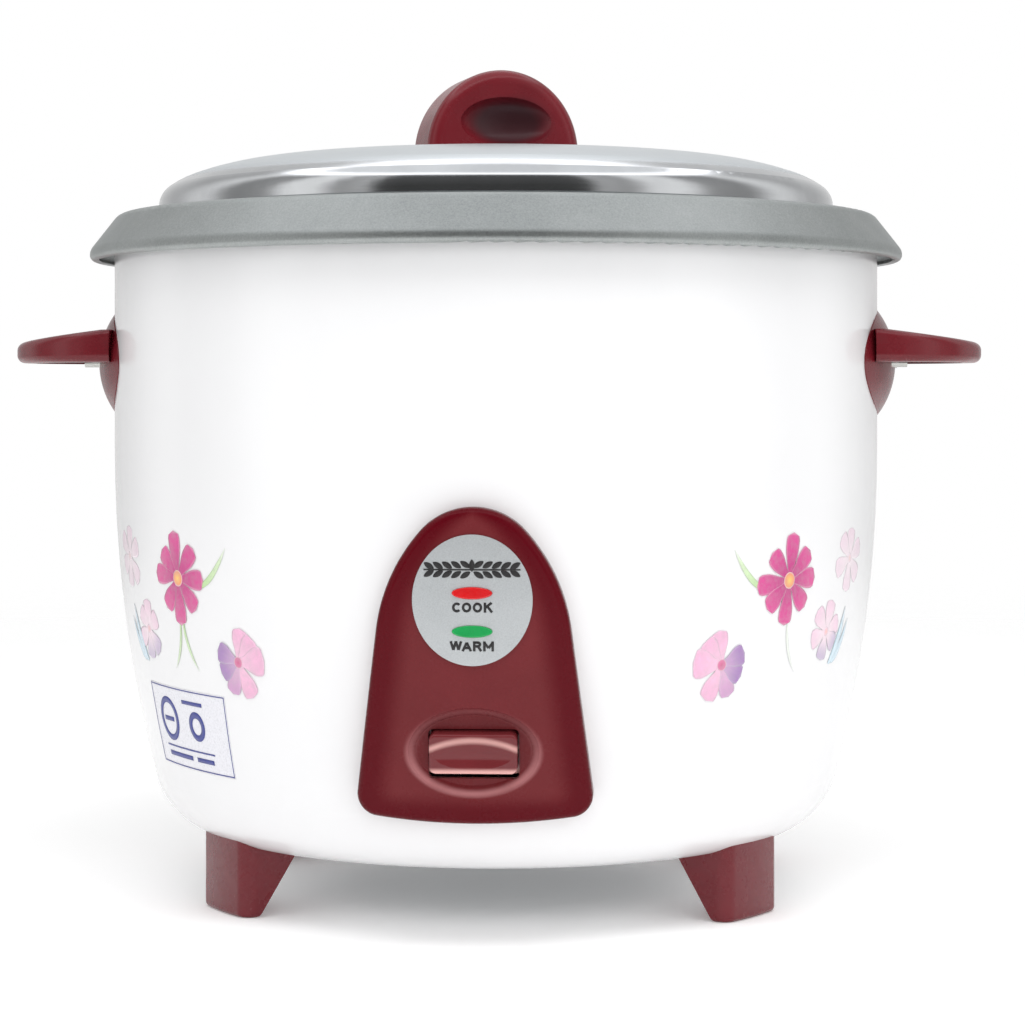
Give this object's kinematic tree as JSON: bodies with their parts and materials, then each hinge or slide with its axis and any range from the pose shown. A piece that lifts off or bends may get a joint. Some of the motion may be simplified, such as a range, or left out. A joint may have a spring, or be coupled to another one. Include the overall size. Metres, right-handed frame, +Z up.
{
  "type": "rice cooker",
  "caption": "Drum rice cooker with a white drawn body on four feet, lift-out pot with a wide skirt, steel lid with a half-round knob, ear handles and a front panel with a cook key.",
  "frame": {"origin": "on the drum's axis, in the plane of the four foot soles", "axes": "+Z up along the drum's axis; the control panel faces -Y; the ear handles stand out along +X and -X; the power inlet is at +Y"},
  "size_m": [0.318, 0.2658, 0.268],
  "materials": {
    "white_enamel": "glossy white baked paint on drawn steel",
    "plain_aluminium": "bright rolled aluminium sheet",
    "satin_aluminium": "fine-grained satin aluminium",
    "cast_aluminium": "turned face on cast aluminium",
    "galvanised_steel": "galvanised sheet steel",
    "zinc_screw": "zinc plated",
    "plain_steel": "bright steel",
    "polished_steel": "mirror-polished band round a fine satin dome",
    "burgundy_plastic": "glossy burgundy moulding",
    "silver_badge": "silver printed label face",
    "red_lens": "translucent red",
    "green_lens": "translucent green",
    "lamp_glass": "clear neon lamp glass",
    "black_plastic": "black moulding",
    "white_plastic": "off-white moulding",
    "heater_tube": "heat-tinted steel tube",
    "dark_ferrite": "dark sintered ferrite",
    "brass_blade": "brass",
    "wire_brown": "heat-proof sleeve",
    "wire_white": "heat-proof sleeve",
    "wire_blue": "heat-proof sleeve",
    "wire_green": "earth wire sleeve"
  },
  "bodies": {
    "cooker": {"bottom_cover": "galvanised_steel", "bottom_cover_screws": "zinc_screw", "case_screws": "zinc_screw", "control_panel": "burgundy_plastic", "cook_lamp_lens": "red_lens", "earth_lead": "wire_green", "earth_tag": "brass_blade", "foot_front_left": "burgundy_plastic", "foot_front_right": "burgundy_plastic", "foot_rear_left": "burgundy_plastic", "foot_rear_right": "burgundy_plastic", "foot_screws": "zinc_screw", "handle_left": "burgundy_plastic", "handle_right": "burgundy_plastic", "handle_screws": "zinc_screw", "heater_lead": "wire_white", "heating_element": "heater_tube", "heating_plate": "cast_aluminium", "inlet_blades": "brass_blade", "inner_liner": "plain_aluminium", "lamp_holder": "black_plastic", "lamp_leads": "wire_white", "lead_splices": "white_plastic", "lever_bracket": "galvanised_steel", "lever_pin": "plain_steel", "lever_return_spring": "plain_steel", "live_lead": "wire_brown", "microswitch": "black_plastic", "neon_lamps": "lamp_glass", "neutral_lead": "wire_blue", "outer_shell": "white_enamel", "panel_badge": "silver_badge", "panel_screws": "zinc_screw", "plate_screws": "zinc_screw", "plate_standoffs": "plain_steel", "power_inlet": "black_plastic", "switch_screws": "zinc_screw", "thermal_fuse": "white_plastic", "thermostat_case": "galvanised_steel", "thermostat_spring": "plain_steel", "warm_lamp_lens": "green_lens"},
    "pot": {"inner_pot": "satin_aluminium"},
    "lid": {"lid": "polished_steel", "lid_knob": "burgundy_plastic", "knob_washer": "plain_steel", "knob_screw": "zinc_screw"},
    "lever": {"switch_lever": "galvanised_steel", "cook_key": "burgundy_plastic"},
    "magnet": {"magnet_rod": "plain_steel", "lower_magnet": "dark_ferrite", "rod_clip": "plain_steel"},
    "thermostat_cap": {"thermostat_cap": "plain_aluminium", "ferrite_disc": "dark_ferrite"},
    "plunger": {"switch_plunger": "white_plastic"}
  },
  "joints": [
    {"name": "pot_lift", "type": "slide", "parent": "cooker", "child": "pot", "axis": [0, 0, 1], "range_m": [0, 0.2]},
    {"name": "lid_lift", "type": "slide", "parent": "pot", "child": "lid", "axis": [0, 0, 1], "range_m": [0, 0.12]},
    {"name": "cook_key_press", "type": "hinge", "parent": "cooker", "child": "lever", "pos_m": [0, -0.096, 0.044], "axis": [1, 0, 0], "range_deg": [0, 4], "stiffness_Nm_per_rad": 0.2, "springref_deg": -22.92},
    {"name": "magnet_slide", "type": "slide", "parent": "cooker", "child": "magnet", "axis": [0, 0, 1], "range_m": [0, 0.0068]},
    {"name": "plunger_slide", "type": "slide", "parent": "cooker", "child": "plunger", "axis": [0, 0, 1], "range_m": [0, 0.0016]},
    {"name": "thermostat_press", "type": "slide", "parent": "cooker", "child": "thermostat_cap", "axis": [0, 0, 1], "range_m": [-0.003, 0], "stiffness_N_per_m": 400, "springref_m": 0.004, "deforming": ["thermostat_spring"]}
  ],
  "couplings": [
    {"joint": "magnet_slide", "follows": "cook_key_press", "m_per_rad": 0.096},
    {"joint": "plunger_slide", "follows": "cook_key_press", "m_per_rad": 0.022}
  ]
}
